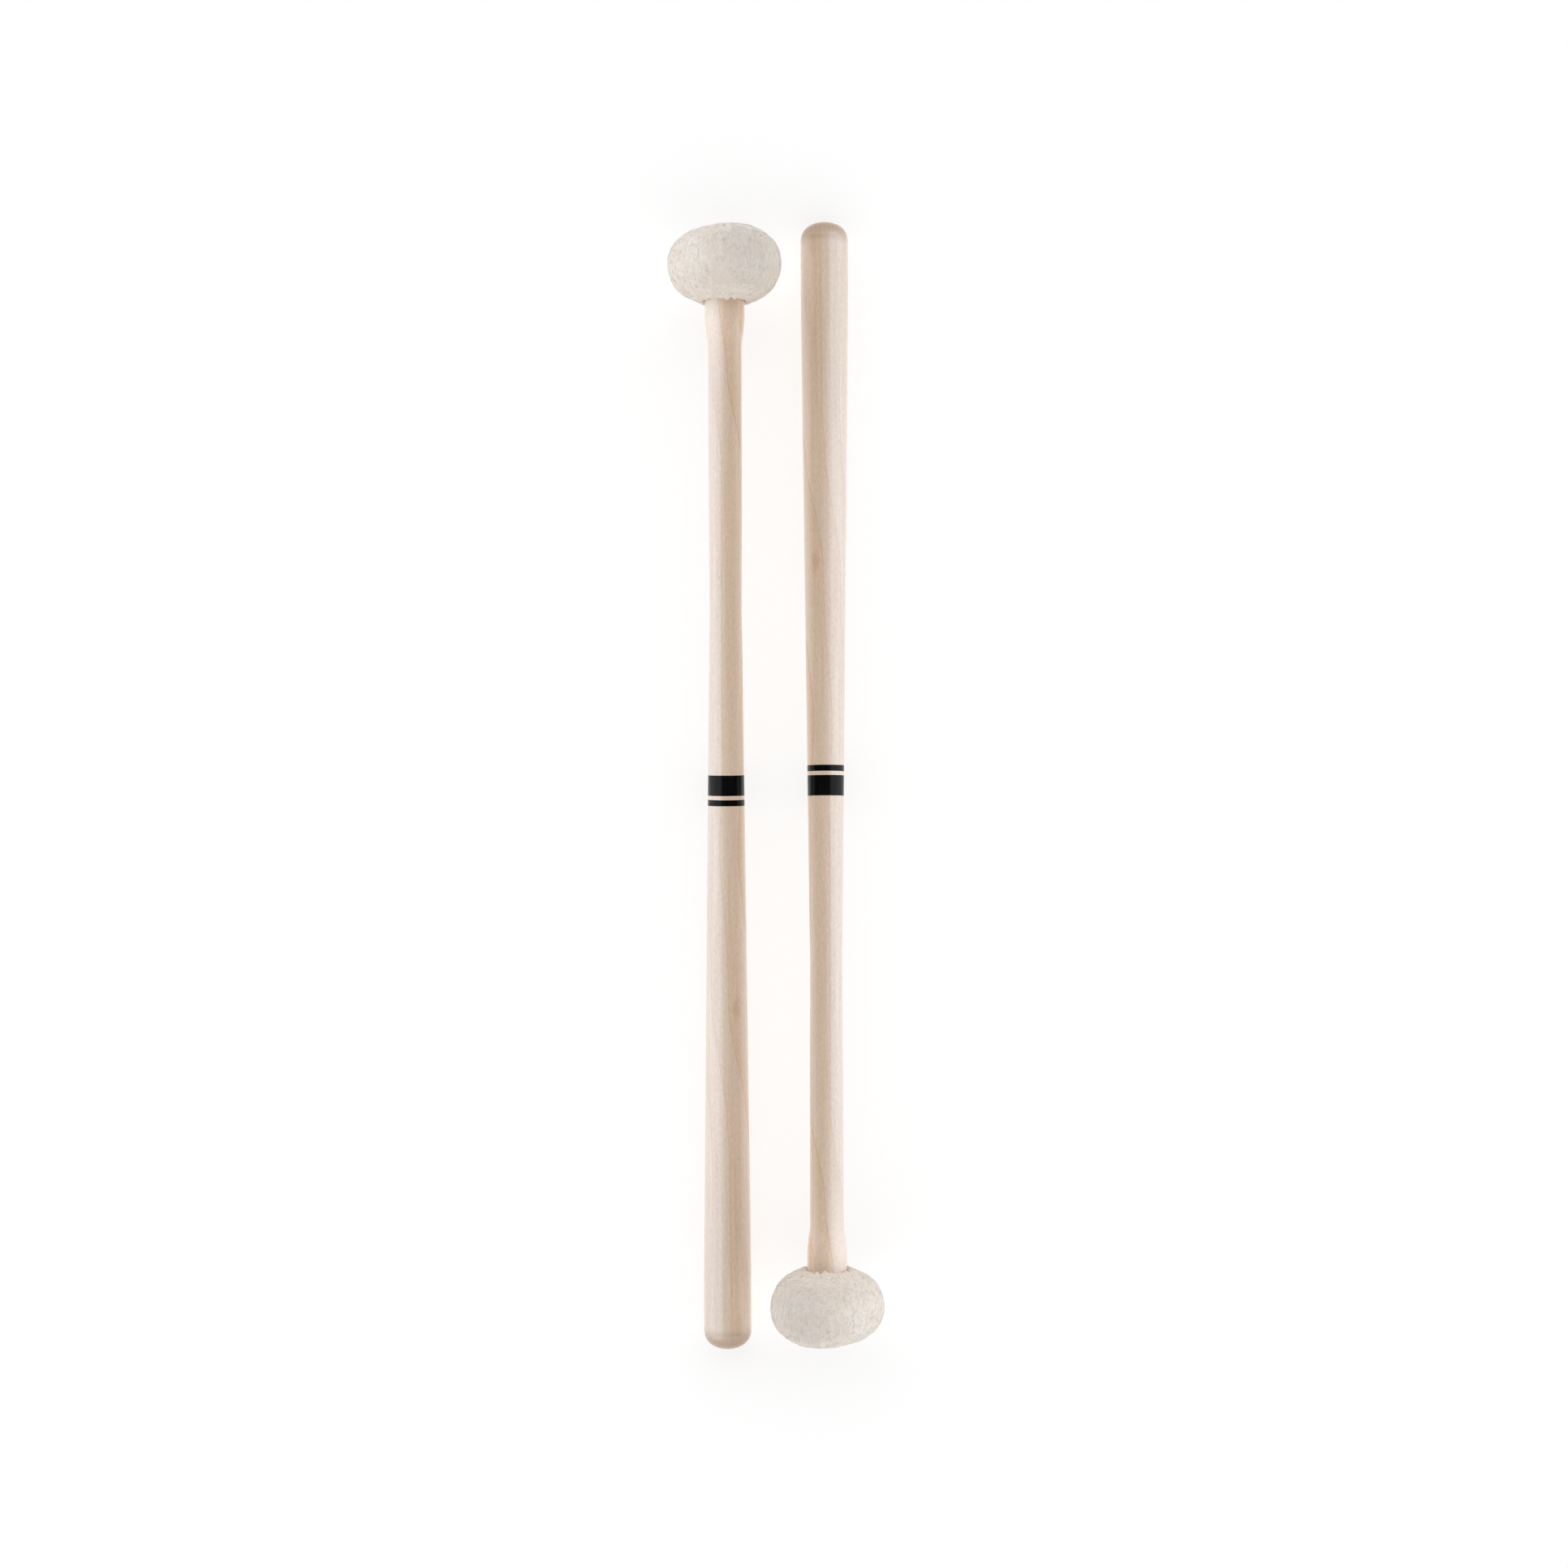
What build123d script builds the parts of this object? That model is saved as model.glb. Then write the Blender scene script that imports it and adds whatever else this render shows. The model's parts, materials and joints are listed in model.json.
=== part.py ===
from build123d import *
import os
from math import acos, asin, atan2, cos, degrees, hypot, sin, sqrt

# A pair of timpani mallets lying side by side on a flat surface, head to tail.
# Each mallet is a turned maple shaft with a felt-covered ball head on its end.
#
# Row frame: millimetres, +Z up. The surface is Z = 0 and the origin is the middle
# of the pair on it. The shafts run along Y. The left mallet (X < 0) has its head
# towards +Y and the right mallet is the same thing turned half round about Z.
#
# Every piece is a body of revolution, drawn on the mallet's own seat plane:
# local x is the radius and local y is the station, counted from the butt end.

# ---------------------------------------------------------------- driving sizes
LENGTH = 376.5                  # butt end to the crown of the head
AXIS_SPACING = 33.4             # between the two shafts' middles
BUTT_OVERHANG = 4.0             # each butt lies this far past the other mallet's head

BUTT_RADIUS = 8.0               # turned from 16 mm maple dowel
BUTT_CROWN_RADIUS = 10.5        # gentle dome over the end grain
BUTT_CORNER_RADIUS = 5.5        # rounding between the dome and the side
BUTT_STRAIGHT_END = 24.0        # station where the taper begins
WAIST_RADIUS = 5.42             # slimmest stretch of the shaft
WAIST_START = 249.0
WAIST_END = 336.5
WAIST_END_RADIUS = 5.66
NECK_RADIUS = 6.63              # flared neck that backs the head
NECK_START = 346.2

HEAD_RADIUS = 19.05             # 1 1/2 inch ball
HEAD_CROWN_HEIGHT = 12.1        # crown above the widest circle
HEAD_SHOULDER_RADIUS = 10.9     # side arc above the widest circle
HEAD_UNDER_RADIUS = 13.5        # side arc below the widest circle
HEM_RADIUS = 1.5                # roll of felt against the neck

COVER_THICKNESS = 4.0           # soft outer felt
LINER_THICKNESS = 2.5           # hard felt under it
CORE_FLOOR = 358.5              # flat underside of the wooden core
TENON_RADIUS = 4.0
TENON_GAP = 0.3                 # the core stands this much above the tenon's end
SEAT_WASHER_THICKNESS = 1.2
RECESS_RADIUS = 6.2             # counterbore for the steel washer and screw head
STEEL_WASHER_RADIUS = 6.0
STEEL_WASHER_THICKNESS = 1.0
SCREW_HEAD_RADIUS = 2.8
SCREW_HEAD_HEIGHT = 1.8
SCREW_CREST_RADIUS = 1.4
SCREW_ROOT_RADIUS = 1.05
SCREW_LENGTH = 9.0              # under the head, with its point
SCREW_POINT = 2.0
SCREW_PITCH = 0.9
SCREW_SLOT = (3.4, 0.7, 0.8)    # each arm of the cross: length, width, depth
PILOT_RADIUS = 1.45

BAND_DEPTH = 0.15               # the bands are let into the wood by this much
BAND_PROUD = 0.03
NARROW_BAND = (183.55, 185.55)  # stations of each band's two edges
WIDE_BAND = (186.95, 193.75)

THREAD_RADIUS = 0.4             # waxed drawstring in the hem of the felt
THREAD_RING_RADIUS = 8.2
THREAD_STATION = 352.9
KNOT_RADIUS = 0.95

# -------------------------------------------------------------- worked-out sizes
WIDEST = LENGTH - HEAD_CROWN_HEIGHT
UNDER_CENTRE = HEAD_RADIUS - HEAD_UNDER_RADIUS
SHOULDER_CENTRE = HEAD_RADIUS - HEAD_SHOULDER_RADIUS
# the crown arc that meets the shoulder arc smoothly, with its middle on the axis
CROWN_RADIUS = (SHOULDER_CENTRE**2 + HEAD_CROWN_HEIGHT**2 - HEAD_SHOULDER_RADIUS**2) / (
    2 * (HEAD_CROWN_HEIGHT - HEAD_SHOULDER_RADIUS)
)
CROWN_CENTRE = LENGTH - CROWN_RADIUS
CROWN_ANGLE = degrees(atan2(SHOULDER_CENTRE, WIDEST - CROWN_CENTRE))

SHOULDER_STATION = CORE_FLOOR - SEAT_WASHER_THICKNESS
CORE_TOP = LENGTH - COVER_THICKNESS - LINER_THICKNESS
RECESS_FLOOR = CORE_TOP - STEEL_WASHER_THICKNESS - SCREW_HEAD_HEIGHT - 0.4
TENON_END = RECESS_FLOOR - TENON_GAP
SCREW_SEAT = RECESS_FLOOR + STEEL_WASHER_THICKNESS

# Lying down, a mallet touches the surface at the butt's corner arc and at the
# head's under arc. The tilt makes both of those circles tangent to Z = 0.
CORNER_CENTRE = BUTT_RADIUS - BUTT_CORNER_RADIUS
CORNER_STATION = BUTT_CROWN_RADIUS - sqrt(
    (BUTT_CROWN_RADIUS - BUTT_CORNER_RADIUS) ** 2 - CORNER_CENTRE**2
)
REACH = WIDEST - CORNER_STATION
TILT = atan2(UNDER_CENTRE - CORNER_CENTRE, REACH) + asin(
    (HEAD_UNDER_RADIUS - BUTT_CORNER_RADIUS)
    / hypot(UNDER_CENTRE - CORNER_CENTRE, REACH)
)
BUTT_HEIGHT = CORNER_CENTRE * cos(TILT) + BUTT_CORNER_RADIUS - CORNER_STATION * sin(TILT)
BUTT_PLACE = (LENGTH * cos(TILT) + BUTT_OVERHANG) / 2


def seat_plane(side):
    """The plane a mallet is drawn on. side is -1 for the left one, 1 for the right one."""
    return Plane(
        origin=(side * AXIS_SPACING / 2, side * BUTT_PLACE, BUTT_HEIGHT),
        x_dir=(-side, 0, 0),
        z_dir=(0, side * sin(TILT), cos(TILT)),
    )


def axis_of(seat):
    return Axis(seat.origin, seat.y_dir)


def taper_radius(station):
    """The shaft's radius on the long taper between the butt and the waist."""
    share = (station - BUTT_STRAIGHT_END) / (WAIST_START - BUTT_STRAIGHT_END)
    return BUTT_RADIUS + (WAIST_RADIUS - BUTT_RADIUS) * share


def band_face(edges, outside, mode=Mode.ADD):
    """The section of a band, from BAND_DEPTH inside the wood to `outside` above it."""
    low, high = edges
    with BuildLine() as outline:
        Polyline(
            (taper_radius(low) - BAND_DEPTH, low),
            (taper_radius(low) + outside, low),
            (taper_radius(high) + outside, high),
            (taper_radius(high) - BAND_DEPTH, high),
            close=True,
        )
    make_face(outline.edges(), mode=mode)


def block_face(radius, low, high, mode=Mode.ADD):
    """A plain rectangle from the axis out to `radius`, between two stations."""
    with Locations((radius / 2, (low + high) / 2)):
        Rectangle(radius, high - low, mode=mode)


def head_face(inset, foot, mode=Mode.ADD):
    """The head's half section, `inset` inside its outer surface, down to where the
    under arc reaches the radius `foot`. Its three arcs share their centres at every inset."""
    under = HEAD_UNDER_RADIUS - inset
    swing = degrees(acos((foot - UNDER_CENTRE) / under))
    foot_station = WIDEST - sqrt(under**2 - (foot - UNDER_CENTRE) ** 2)
    with BuildLine() as outline:
        CenterArc((0, CROWN_CENTRE), CROWN_RADIUS - inset, 90, -CROWN_ANGLE)
        CenterArc(
            (SHOULDER_CENTRE, WIDEST),
            HEAD_SHOULDER_RADIUS - inset,
            90 - CROWN_ANGLE,
            CROWN_ANGLE - 90,
        )
        CenterArc((UNDER_CENTRE, WIDEST), under, 0, -swing)
        Polyline((foot, foot_station), (0, foot_station), (0, LENGTH - inset))
    make_face(outline.edges(), mode=mode)


def core_face(mode=Mode.ADD):
    """The core's outside section, which the liner is moulded over: it has a flat underside."""
    inset = COVER_THICKNESS + LINER_THICKNESS
    under = HEAD_UNDER_RADIUS - inset
    head_face(inset, UNDER_CENTRE + sqrt(under**2 - (WIDEST - CORE_FLOOR) ** 2), mode)


# ------------------------------------------------------------------ the pieces
def shaft(seat):
    """Turned maple: domed butt, long taper, slim waist, flared neck and a tenon for the core."""
    with BuildPart() as shaft:
        with BuildSketch(seat) as profile:
            with BuildLine():
                dome_rise = BUTT_CROWN_RADIUS - sqrt(BUTT_CROWN_RADIUS**2 - BUTT_RADIUS**2)
                RadiusArc((0, 0), (BUTT_RADIUS, dome_rise), -BUTT_CROWN_RADIUS)
                Polyline(
                    (BUTT_RADIUS, dome_rise),
                    (BUTT_RADIUS, BUTT_STRAIGHT_END),
                    (WAIST_RADIUS, WAIST_START),
                    (WAIST_END_RADIUS, WAIST_END),
                )
                Spline(
                    (WAIST_END_RADIUS, WAIST_END),
                    (NECK_RADIUS, NECK_START),
                    tangents=[(0, 1), (0, 1)],
                )
                Polyline(
                    (NECK_RADIUS, NECK_START),
                    (NECK_RADIUS, SHOULDER_STATION),
                    (TENON_RADIUS, SHOULDER_STATION),
                    (TENON_RADIUS, TENON_END),
                    (0, TENON_END),
                    (0, 0),
                )
            make_face()
            butt_corner = profile.vertices().sort_by(Axis.X)[-2:].sort_by(Axis.Y)[0]
            fillet(butt_corner, BUTT_CORNER_RADIUS)
            for edges in (NARROW_BAND, WIDE_BAND):
                band_face(edges, BUTT_RADIUS, Mode.SUBTRACT)
        revolve(axis=axis_of(seat))
        tenon_end = Plane(seat.from_local_coords((0, TENON_END, 0)), z_dir=seat.y_dir)
        with Locations(tenon_end):
            Hole(PILOT_RADIUS, SCREW_LENGTH + SCREW_POINT / 2)
    return shaft


def band(seat, edges):
    """A black foil band, let into the shaft and a hair proud of it."""
    with BuildPart() as band:
        with BuildSketch(seat):
            band_face(edges, BAND_PROUD)
        revolve(axis=axis_of(seat))
    return band


def wide_band(seat):
    return band(seat, WIDE_BAND)


def narrow_band(seat):
    return band(seat, NARROW_BAND)


def seat_washer(seat):
    """A leather washer between the neck's shoulder and the core."""
    with BuildPart() as seat_washer:
        with BuildSketch(seat):
            block_face(NECK_RADIUS, SHOULDER_STATION, CORE_FLOOR)
            block_face(TENON_RADIUS, SHOULDER_STATION, CORE_FLOOR, Mode.SUBTRACT)
        revolve(axis=axis_of(seat))
    return seat_washer


def head_core(seat):
    """The turned wooden ball, bored for the tenon and recessed for the washer and screw."""
    with BuildPart() as head_core:
        with BuildSketch(seat):
            core_face()
            block_face(TENON_RADIUS, CORE_FLOOR, RECESS_FLOOR, Mode.SUBTRACT)
            block_face(RECESS_RADIUS, RECESS_FLOOR, LENGTH, Mode.SUBTRACT)
        revolve(axis=axis_of(seat))
    return head_core


def core_washer(seat):
    """A steel washer that spreads the screw's pull over the core."""
    with BuildPart() as core_washer:
        with BuildSketch(seat):
            block_face(STEEL_WASHER_RADIUS, RECESS_FLOOR, SCREW_SEAT)
            block_face(PILOT_RADIUS, RECESS_FLOOR, SCREW_SEAT, Mode.SUBTRACT)
        revolve(axis=axis_of(seat))
    return core_washer


def core_screw(seat):
    """A pan-head wood screw into the tenon's end, with ridges for its thread and a cross recess."""
    shank_end = SCREW_SEAT - SCREW_LENGTH + SCREW_POINT
    ridges = int((SCREW_LENGTH - SCREW_POINT - STEEL_WASHER_THICKNESS) / SCREW_PITCH)
    outline = [(0, SCREW_SEAT - SCREW_LENGTH)]
    for i in range(ridges):
        station = shank_end + i * SCREW_PITCH
        outline.append((SCREW_ROOT_RADIUS, station))
        outline.append((SCREW_CREST_RADIUS, station + SCREW_PITCH / 2))
    outline.append((SCREW_ROOT_RADIUS, shank_end + ridges * SCREW_PITCH))
    head_top = SCREW_SEAT + SCREW_HEAD_HEIGHT
    with BuildPart() as core_screw:
        with BuildSketch(seat):
            with BuildLine():
                Polyline(
                    *outline,
                    (SCREW_ROOT_RADIUS, SCREW_SEAT),
                    (0, SCREW_SEAT),
                    close=True,
                )
            make_face()
        revolve(axis=axis_of(seat))
        with BuildSketch(seat) as head:
            block_face(SCREW_HEAD_RADIUS, SCREW_SEAT, head_top)
            rim = head.vertices().sort_by(Axis.X)[-2:].sort_by(Axis.Y)[-1]
            fillet(rim, SCREW_HEAD_HEIGHT / 2)
        revolve(axis=axis_of(seat))
        drive = Plane(seat.from_local_coords((0, head_top, 0)), z_dir=seat.y_dir)
        length, width, depth = SCREW_SLOT
        with BuildSketch(drive):
            Rectangle(length, width)
            Rectangle(width, length)
        extrude(amount=-depth, mode=Mode.SUBTRACT)
    return core_screw


def felt_liner(seat):
    """Hard felt moulded over the core, open at the neck."""
    with BuildPart() as felt_liner:
        with BuildSketch(seat):
            head_face(COVER_THICKNESS, NECK_RADIUS)
            core_face(Mode.SUBTRACT)
            block_face(NECK_RADIUS, WIDEST - HEAD_UNDER_RADIUS, CORE_FLOOR, Mode.SUBTRACT)
        revolve(axis=axis_of(seat))
    return felt_liner


def gather_thread(seat):
    """The drawstring: a ring of waxed thread through the hem, with its knot underneath."""
    knot_middle = seat.from_local_coords((0, THREAD_STATION, -THREAD_RING_RADIUS))
    with BuildPart() as gather_thread:
        with BuildSketch(seat):
            with Locations((THREAD_RING_RADIUS, THREAD_STATION)):
                Circle(THREAD_RADIUS)
        revolve(axis=axis_of(seat))
        with Locations(knot_middle):
            Sphere(KNOT_RADIUS, rotation=(0, 0, 90))
    return gather_thread


def felt_cover(seat):
    """Soft felt drawn over the liner and gathered against the neck, with the thread's channel."""
    with BuildPart() as felt_cover:
        with BuildSketch(seat) as section:
            head_face(0, NECK_RADIUS)
            liner_foot = WIDEST - HEAD_UNDER_RADIUS
            block_face(NECK_RADIUS, liner_foot, CORE_FLOOR, Mode.SUBTRACT)
            fillet(section.vertices().sort_by(Axis.Y)[0], HEM_RADIUS)
            head_face(COVER_THICKNESS, NECK_RADIUS, Mode.SUBTRACT)
        revolve(axis=axis_of(seat))
        add(gather_thread(seat).part, mode=Mode.SUBTRACT)
    return felt_cover


PIECES = (
    shaft,
    wide_band,
    narrow_band,
    seat_washer,
    head_core,
    core_washer,
    core_screw,
    felt_liner,
    gather_thread,
    felt_cover,
)

os.makedirs("parts", exist_ok=True)
for side, sign in (("left", -1), ("right", 1)):
    seat = seat_plane(sign)
    for make in PIECES:
        piece = make(seat)
        piece.part.label = f"{side}_{make.__name__}"
        export_step(piece.part, f"parts/{piece.part.label}.step")
print(f"tilt {degrees(TILT):.3f} degrees, butt axis {BUTT_HEIGHT:.3f} mm above the surface")
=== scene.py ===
"""Looks for the pair of timpani mallets: felt heads, lacquered maple, black bands."""

import json
import math

import bpy
import numpy as np
from mathutils import Matrix, Vector, noise

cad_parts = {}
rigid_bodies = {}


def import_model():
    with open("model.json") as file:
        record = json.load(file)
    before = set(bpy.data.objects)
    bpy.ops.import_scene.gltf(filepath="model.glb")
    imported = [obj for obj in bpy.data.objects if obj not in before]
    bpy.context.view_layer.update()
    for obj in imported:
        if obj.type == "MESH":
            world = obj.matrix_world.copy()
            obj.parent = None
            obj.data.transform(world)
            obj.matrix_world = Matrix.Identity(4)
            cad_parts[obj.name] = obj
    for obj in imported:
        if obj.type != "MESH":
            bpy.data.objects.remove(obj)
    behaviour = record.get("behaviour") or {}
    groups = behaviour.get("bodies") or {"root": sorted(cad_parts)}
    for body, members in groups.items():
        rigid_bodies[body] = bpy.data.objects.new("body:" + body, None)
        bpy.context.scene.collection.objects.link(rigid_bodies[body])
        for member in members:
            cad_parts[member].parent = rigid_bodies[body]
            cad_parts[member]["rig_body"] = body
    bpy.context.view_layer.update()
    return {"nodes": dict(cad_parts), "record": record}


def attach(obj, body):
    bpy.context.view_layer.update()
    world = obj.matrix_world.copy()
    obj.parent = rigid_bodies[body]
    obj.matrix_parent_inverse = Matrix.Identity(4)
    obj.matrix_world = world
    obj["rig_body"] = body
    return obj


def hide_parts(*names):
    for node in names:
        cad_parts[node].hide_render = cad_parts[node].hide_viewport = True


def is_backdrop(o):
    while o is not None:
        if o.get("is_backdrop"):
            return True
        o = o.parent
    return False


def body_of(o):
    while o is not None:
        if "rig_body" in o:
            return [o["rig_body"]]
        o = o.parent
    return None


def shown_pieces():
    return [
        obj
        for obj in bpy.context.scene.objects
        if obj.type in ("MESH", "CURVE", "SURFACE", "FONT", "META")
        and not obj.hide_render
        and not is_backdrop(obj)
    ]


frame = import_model()

MM = 0.001
SIDES = ("left", "right")

# Camera and image, in metres and pixels
CAMERA_HEIGHT = 0.75
CAMERA_AIM = (0.0027, 0.0005)
CAMERA_ROLL = -0.128        # degrees
IMAGE_WIDTH = 1932
FOCAL_PIXELS = 2705.0
SENSOR = 36.0

# Head outline, in mm. The arcs' sizes are the CAD head's own.
UNDER_RADIUS = 13.5
SHOULDER_RADIUS = 10.9
HEM_RADIUS = 1.5
HEM_TAIL = 1.5              # inside the hem's roll the felt lies along the neck for this far
CROWN_HEIGHT = 12.1
NECK_RADIUS = 6.63


# ------------------------------------------------------------ the mallets' axes
class Mallet:
    """One mallet's own axes: x across, y along the shaft from the butt's end, z up."""

    def __init__(self, side):
        self.side = side
        self.body = f"{side}_mallet"
        mounts = {m["name"]: m for m in frame["record"]["mounts"]}
        butt = mounts[f"{side}_butt"]
        along = -Vector(butt["axis"]).normalized()
        across = along.cross(Vector((0, 0, 1))).normalized()
        up = across.cross(along)
        point = Vector(butt["pos_m"])
        shaft = self.vertices("shaft")
        start = float(((shaft - np.array(point)) @ np.array(along)).min())
        self.matrix = Matrix.Translation(point + along * start) @ Matrix(
            (across, along, up)
        ).transposed().to_4x4()
        self.inverse = self.matrix.inverted()
        cover = self.vertices("felt_cover")
        local = (cover - np.array(self.matrix.translation)) @ np.array(self.matrix)[:3, :3]
        radius = np.hypot(local[:, 0], local[:, 2])
        self.length = float(local[:, 1].max()) / MM
        self.head_radius = float(radius.max()) / MM

    def vertices(self, piece):
        mesh = frame["nodes"][f"{self.side}_{piece}"].data
        found = np.empty(len(mesh.vertices) * 3)
        mesh.vertices.foreach_get("co", found)
        return found.reshape(-1, 3)

    def place(self, points_mm):
        """Points in this mallet's axes, in mm, as points in the row frame, in metres."""
        m = np.array(self.matrix)
        return (np.asarray(points_mm) * MM) @ m[:3, :3].T + m[:3, 3]


mallets = {side: Mallet(side) for side in SIDES}


# --------------------------------------------------------------- shader helpers
class Shader:
    """A material whose nodes are made by calls. Each call returns the output it makes."""

    def __init__(self, name):
        self.material = bpy.data.materials.new(name)
        self.material.use_nodes = True
        self.tree = self.material.node_tree
        self.tree.nodes.clear()
        self.output = self.tree.nodes.new("ShaderNodeOutputMaterial")

    def node(self, kind, settings=None, **inputs):
        made = self.tree.nodes.new(kind)
        for key, value in (settings or {}).items():
            setattr(made, key, value)
        for key, value in inputs.items():
            self.feed(made.inputs[key.replace("_", " ")], value)
        return made

    def feed(self, socket, value):
        if isinstance(value, bpy.types.NodeSocket):
            self.tree.links.new(value, socket)
        elif value is not None:
            socket.default_value = value

    def math(self, operation, a, b=None, c=None):
        made = self.tree.nodes.new("ShaderNodeMath")
        made.operation = operation
        for socket, value in zip(made.inputs, (a, b, c)):
            self.feed(socket, value)
        return made.outputs[0]

    def sway(self, noise, size, base):
        """The base value, moved by up to half the size each way."""
        return self.math("MULTIPLY_ADD", self.math("SUBTRACT", noise, 0.5), size, base)

    def less(self, value):
        """What is left of 1."""
        return self.math("SUBTRACT", 1.0, value)

    def local(self, mallet):
        """Surface point in the mallet's own axes, in mm."""
        where = self.node("ShaderNodeTexCoord").outputs["Object"]
        turned = self.node(
            "ShaderNodeMapping",
            Vector=where,
            Rotation=mallet.inverse.to_euler("XYZ"),
            Location=mallet.inverse.translation,
        ).outputs[0]
        return self.scaled(turned, (1 / MM,) * 3)

    def scaled(self, vector, factors):
        made = self.node("ShaderNodeVectorMath", {"operation": "MULTIPLY"})
        self.feed(made.inputs[0], vector)
        made.inputs[1].default_value = factors
        return made.outputs[0]

    def split(self, vector):
        return self.node("ShaderNodeSeparateXYZ", Vector=vector).outputs

    def noise(self, vector, size, detail=2.0, rough=0.5, distortion=0.0, stretch=1.0):
        """Noise from 0 to 1 with blobs about `size` mm wide, `stretch` times as long along y."""
        points = self.scaled(vector, (1 / size, 1 / (size * stretch), 1 / size))
        return self.node(
            "ShaderNodeTexNoise",
            Vector=points,
            Scale=1.0,
            Detail=detail,
            Roughness=rough,
            Distortion=distortion,
        ).outputs[0]

    def ramp(self, value, low, high):
        """0 at or under low, 1 at or over high, smooth between."""
        return self.node(
            "ShaderNodeMapRange",
            {"interpolation_type": "SMOOTHSTEP"},
            Value=value,
            From_Min=float(low),
            From_Max=float(high),
        ).outputs[0]

    def blend(self, factor, a, b):
        """A number from a to b."""
        made = self.node("ShaderNodeMix", Factor=factor)
        self.feed(made.inputs[2], a)
        self.feed(made.inputs[3], b)
        return made.outputs[0]

    def mix(self, factor, a, b, blend="MIX"):
        """A colour from a to b."""
        made = self.node("ShaderNodeMix", {"data_type": "RGBA", "blend_type": blend})
        self.feed(made.inputs[0], factor)
        self.feed(made.inputs[6], a if isinstance(a, bpy.types.NodeSocket) else (*a, 1.0))
        self.feed(made.inputs[7], b if isinstance(b, bpy.types.NodeSocket) else (*b, 1.0))
        return made.outputs[2]

    def bump(self, height, depth, under=None):
        """A normal from a height of 0 to 1 that stands for `depth` mm."""
        return self.node(
            "ShaderNodeBump",
            Height=height,
            Distance=depth * MM,
            Strength=1.0,
            Normal=under,
        ).outputs[0]

    def surface(self, **inputs):
        made = self.node("ShaderNodeBsdfPrincipled", **inputs)
        self.tree.links.new(made.outputs[0], self.output.inputs[0])
        return self.material


# -------------------------------------------------------------------- materials
MAPLE_PALE = (0.70, 0.598, 0.525)
MAPLE_TAN = (0.635, 0.460, 0.315)
MAPLE_LINE = (0.42, 0.27, 0.17)
# end grain colour, made darker with painted shade against the lights' reflection on the butt's dome
MAPLE_END = (0.36, 0.22, 0.125)
MAPLE_PORE = (0.25, 0.145, 0.08)
RING_SPACING = 6.0          # mm between the rings that show along the shaft
YEAR_SPACING = 1.5          # mm between the growth rings in the butt's end grain
RING_LEAN = 0.12            # the rings' sheets lean this much from upright
RING_OFFSET = -1.3          # where one ring's line crosses the neck, across the shaft
# How the rings wander across the shaft towards the butt: from station, to station, by how much
RING_WANDER = (
    (352, 330, 2.4),
    (330, 298, 4.3),
    (200, 165, -1.1),
    (172, 128, 3.0),
    (120, 80, 5.0),
    (95, 60, 1.5),
    (60, 0, 0.8),
)
SAPWOOD_AND_LIT_EDGE = -0.3         # the wood is paler on this side of the shaft's middle, the side its key softbox lights: partly sapwood, partly painted light
SAPWOOD_AND_LIT_SOFT = 2.2          # over a change this far to each side
OUTER_WOOD = (-4.8, -6.6)   # and it warms again towards the shaft's outer side
BUTT_DARKER = 0.075         # the wood's tone changes a little between these stations
BUTT_REACH = (90.0, 5.0)
# painted light: the neck is painted paler, against the shade that the head casts on it
NECK_PALER = 0.17
NECK_REACH = (318.0, 354.0)
END_REACH = (3.0, 9.0)      # the end grain and its painted shade go over into the shaft's between these stations
MINERAL_SPOT = (3.3, 116.0, 5.6)
MINERAL_SQUEEZE = (1.0, 0.4, 1.0)   # the spot is longer along the shaft
MINERAL_COLOUR = (0.47, 0.28, 0.14)


def ring_depth(s, p):
    """Distances across the shaft in mm, one that sways a little and one into the growth rings.

    The rings are nearly flat sheets that lean a little and wander across the shaft.
    """
    across, along, up = s.split(p)
    edge = s.math("MULTIPLY_ADD", up, RING_LEAN, across)
    edge = s.sway(s.noise(p, 30.0, 2.0, stretch=1.5), 0.9, edge)
    edge = s.sway(s.noise(p, 2.5, 2.0, stretch=9.0), 0.45, edge)
    depth = s.math("SUBTRACT", edge, RING_OFFSET)
    for start, end, step in RING_WANDER:
        depth = s.math("MULTIPLY_ADD", s.ramp(along, start, end), -step, depth)
    return edge, depth


def ring_colour(s, edge, depth):
    """After each ring's line the wood is tan, and it pales towards the next line. The side that the
    key softbox lights is paler, partly sapwood and partly painted light; the other side is tan,
    partly heartwood and partly painted shade.
    """
    turns = s.math("DIVIDE", depth, RING_SPACING)
    ring = s.math("FLOOR", turns)
    phase = s.math("FRACT", turns)
    chance = s.node("ShaderNodeTexWhiteNoise", {"noise_dimensions": "1D"}, W=ring).outputs[0]
    strength = s.math("MULTIPLY_ADD", chance, 0.45, 0.55)
    fading = s.math("MULTIPLY", s.less(s.ramp(phase, 0.0, 0.7)), strength)
    line = s.math("ABSOLUTE", s.math("SUBTRACT", phase, 0.03))
    line = s.math("MULTIPLY", s.less(s.ramp(line, 0.004, 0.04)), strength)
    # painted light: paler on the side that the key softbox lights, partly sapwood; the other side is
    # tan, partly heartwood and partly painted shade
    sapwood_and_lit_side = s.ramp(edge, SAPWOOD_AND_LIT_EDGE + SAPWOOD_AND_LIT_SOFT, SAPWOOD_AND_LIT_EDGE - SAPWOOD_AND_LIT_SOFT)
    heartwood_and_shade = s.math("MULTIPLY_ADD", fading, 0.35, 0.65)
    pale = s.math("MULTIPLY", fading, 0.22)
    pale = s.math("MULTIPLY_ADD", s.ramp(edge, *OUTER_WOOD), 0.30, pale)
    colour = s.mix(s.blend(sapwood_and_lit_side, heartwood_and_shade, pale), MAPLE_PALE, MAPLE_TAN)
    faint = s.math("MULTIPLY_ADD", sapwood_and_lit_side, -0.14, 0.42)
    return s.mix(s.math("MULTIPLY", line, faint), colour, MAPLE_LINE)


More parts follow.
